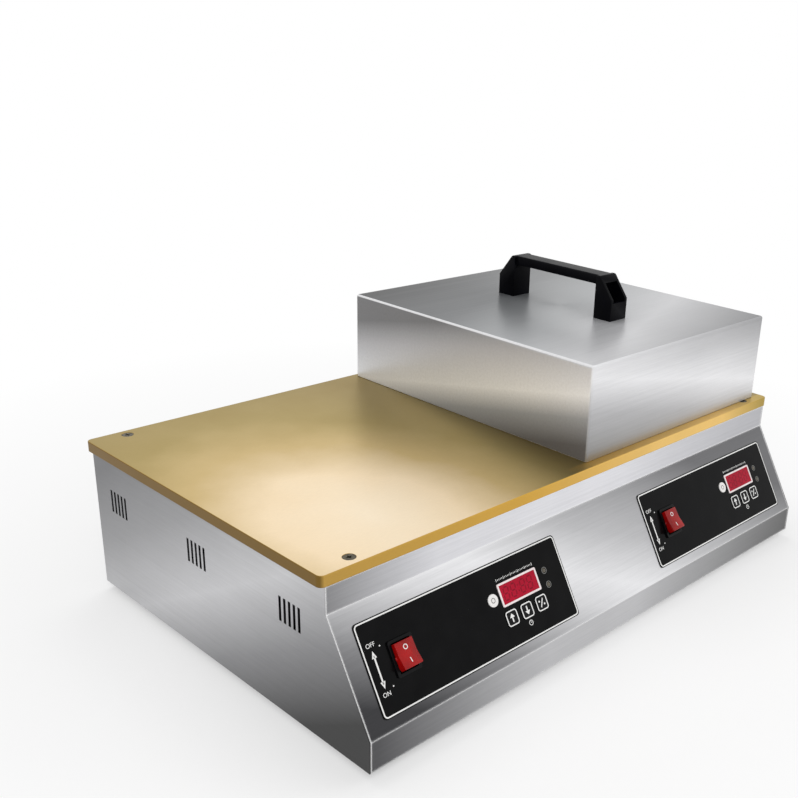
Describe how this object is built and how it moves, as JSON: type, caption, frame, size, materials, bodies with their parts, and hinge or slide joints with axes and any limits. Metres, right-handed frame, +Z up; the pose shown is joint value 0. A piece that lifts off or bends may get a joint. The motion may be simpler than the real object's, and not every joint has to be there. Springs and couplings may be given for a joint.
{
  "type": "souffle pancake maker",
  "caption": "Countertop souffle pancake maker: brass griddle plate on a stainless housing, twin slanted control panels and a lift-off stainless cover with a bridge handle.",
  "frame": {"origin": "centre of the whole object's footprint, on the surface the rubber feet stand on", "axes": "+X to the operator's right along the wide side, +Y away from the operator to the back, +Z up"},
  "size_m": [0.706, 0.47, 0.3322],
  "materials": {
    "stainless_steel": "horizontal brushed grain",
    "brass_plate": "fine ground, satin",
    "zinc_steel": "bright zinc plated",
    "element_sheath": "heat darkened",
    "earth_brass": "turned",
    "black_rubber": "moulded",
    "black_plastic": "moulded, fine texture",
    "label_black": "gloss printed film",
    "white_plastic": "moulded",
    "red_window": "tinted, gloss",
    "red_rocker_plastic": "tinted, gloss",
    "lamp_lens": "clear lens",
    "ceramic_wool": "felted blanket",
    "circuit_board": "solder mask",
    "wire_sheath": "insulated wire"
  },
  "bodies": {
    "base": {"board_screws": "zinc_steel", "board_standoffs": "earth_brass", "bottom_cover": "stainless_steel", "cable_gland": "black_plastic", "clamp_nuts": "zinc_steel", "clamp_studs": "zinc_steel", "cover_screws": "zinc_steel", "earth_stud": "earth_brass", "element_clamps": "zinc_steel", "foot_screws": "zinc_steel", "front_panel": "stainless_steel", "gland_locknut": "black_plastic", "griddle_plate": "brass_plate", "heat_shields": "zinc_steel", "insulation_blankets": "ceramic_wool", "left_control_label": "label_black", "left_display_frame": "white_plastic", "left_display_module": "black_plastic", "left_display_window": "red_window", "left_heating_element": "element_sheath", "left_indicator_lamps": "lamp_lens", "left_side_panel": "stainless_steel", "left_switch_body": "black_plastic", "left_timer_board": "circuit_board", "limit_thermostats": "zinc_steel", "plate_nuts": "zinc_steel", "plate_screws": "zinc_steel", "power_relays": "black_plastic", "rear_panel": "stainless_steel", "right_control_label": "label_black", "right_display_frame": "white_plastic", "right_display_module": "black_plastic", "right_display_window": "red_window", "right_heating_element": "element_sheath", "right_indicator_lamps": "lamp_lens", "right_side_panel": "stainless_steel", "right_switch_body": "black_plastic", "right_timer_board": "circuit_board", "rubber_feet": "black_rubber", "shield_nuts": "zinc_steel", "supply_wires": "wire_sheath", "temperature_probes": "element_sheath", "terminal_block": "white_plastic"},
    "lid": {"lid_shell": "stainless_steel", "lid_handle": "black_plastic", "lid_handle_screws": "zinc_steel", "lid_handle_washers": "zinc_steel", "lid_handle_nuts": "zinc_steel"},
    "left_rocker": {"left_rocker": "red_rocker_plastic"},
    "left_set_button": {"left_set_button": "white_plastic"},
    "left_up_button": {"left_up_button": "label_black"},
    "left_down_button": {"left_down_button": "label_black"},
    "left_timer_button": {"left_timer_button": "label_black"},
    "right_rocker": {"right_rocker": "red_rocker_plastic"},
    "right_set_button": {"right_set_button": "white_plastic"},
    "right_up_button": {"right_up_button": "label_black"},
    "right_down_button": {"right_down_button": "label_black"},
    "right_timer_button": {"right_timer_button": "label_black"}
  },
  "joints": [
    {"name": "lid_lift", "type": "slide", "parent": "base", "child": "lid", "axis": [0, 0, 1], "range_m": [0, 0.15]},
    {"name": "left_rocker_tilt", "type": "hinge", "parent": "base", "child": "left_rocker", "pos_m": [-0.288, -0.20962, 0.08793], "axis": [1, 0, 0], "range_deg": [0, 22]},
    {"name": "left_set_press", "type": "slide", "parent": "base", "child": "left_set_button", "axis": [0, 0.8622, -0.5066], "range_m": [0, 0.0008], "stiffness_N_per_m": 300, "springref_m": -0.001},
    {"name": "left_up_press", "type": "slide", "parent": "base", "child": "left_up_button", "axis": [0, 0.8622, -0.5066], "range_m": [0, 0.0008], "stiffness_N_per_m": 300, "springref_m": -0.001},
    {"name": "left_down_press", "type": "slide", "parent": "base", "child": "left_down_button", "axis": [0, 0.8622, -0.5066], "range_m": [0, 0.0008], "stiffness_N_per_m": 300, "springref_m": -0.001},
    {"name": "left_timer_press", "type": "slide", "parent": "base", "child": "left_timer_button", "axis": [0, 0.8622, -0.5066], "range_m": [0, 0.0008], "stiffness_N_per_m": 300, "springref_m": -0.001},
    {"name": "right_rocker_tilt", "type": "hinge", "parent": "base", "child": "right_rocker", "pos_m": [0.111, -0.20962, 0.08793], "axis": [1, 0, 0], "range_deg": [0, 22]},
    {"name": "right_set_press", "type": "slide", "parent": "base", "child": "right_set_button", "axis": [0, 0.8622, -0.5066], "range_m": [0, 0.0008], "stiffness_N_per_m": 300, "springref_m": -0.001},
    {"name": "right_up_press", "type": "slide", "parent": "base", "child": "right_up_button", "axis": [0, 0.8622, -0.5066], "range_m": [0, 0.0008], "stiffness_N_per_m": 300, "springref_m": -0.001},
    {"name": "right_down_press", "type": "slide", "parent": "base", "child": "right_down_button", "axis": [0, 0.8622, -0.5066], "range_m": [0, 0.0008], "stiffness_N_per_m": 300, "springref_m": -0.001},
    {"name": "right_timer_press", "type": "slide", "parent": "base", "child": "right_timer_button", "axis": [0, 0.8622, -0.5066], "range_m": [0, 0.0008], "stiffness_N_per_m": 300, "springref_m": -0.001}
  ]
}
